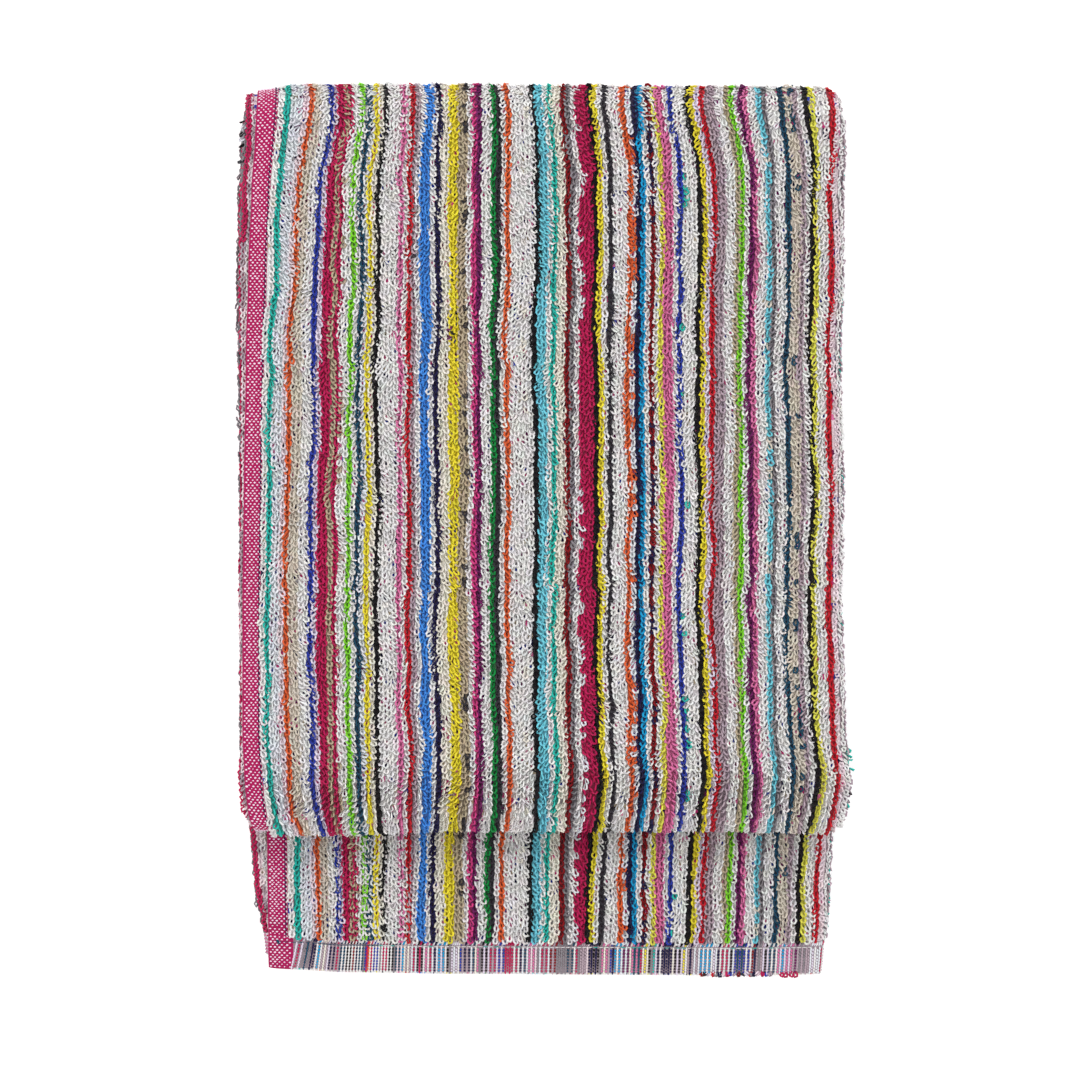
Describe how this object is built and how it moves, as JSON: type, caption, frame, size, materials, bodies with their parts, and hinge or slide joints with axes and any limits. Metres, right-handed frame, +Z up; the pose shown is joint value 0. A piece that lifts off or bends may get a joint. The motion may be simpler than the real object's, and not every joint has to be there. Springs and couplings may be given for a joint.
{
  "type": "folded bath towel",
  "caption": "Terry bath towel folded in three across its width and twice along its length, lying flat with a short strip and its hem showing below the top flap.",
  "frame": {"origin": "middle of the folded towel's outline, on the surface it lies on", "axes": "+X across the towel, away from the visible selvage; +Y along the stripes, away from the visible hem; +Z up, out of the top flap"},
  "size_m": [0.2457, 0.3574, 0.034],
  "materials": {
    "terry": "looped cotton pile, multicolour stripes"
  },
  "bodies": {
    "root": {"towel": "terry"}
  },
  "joints": []
}
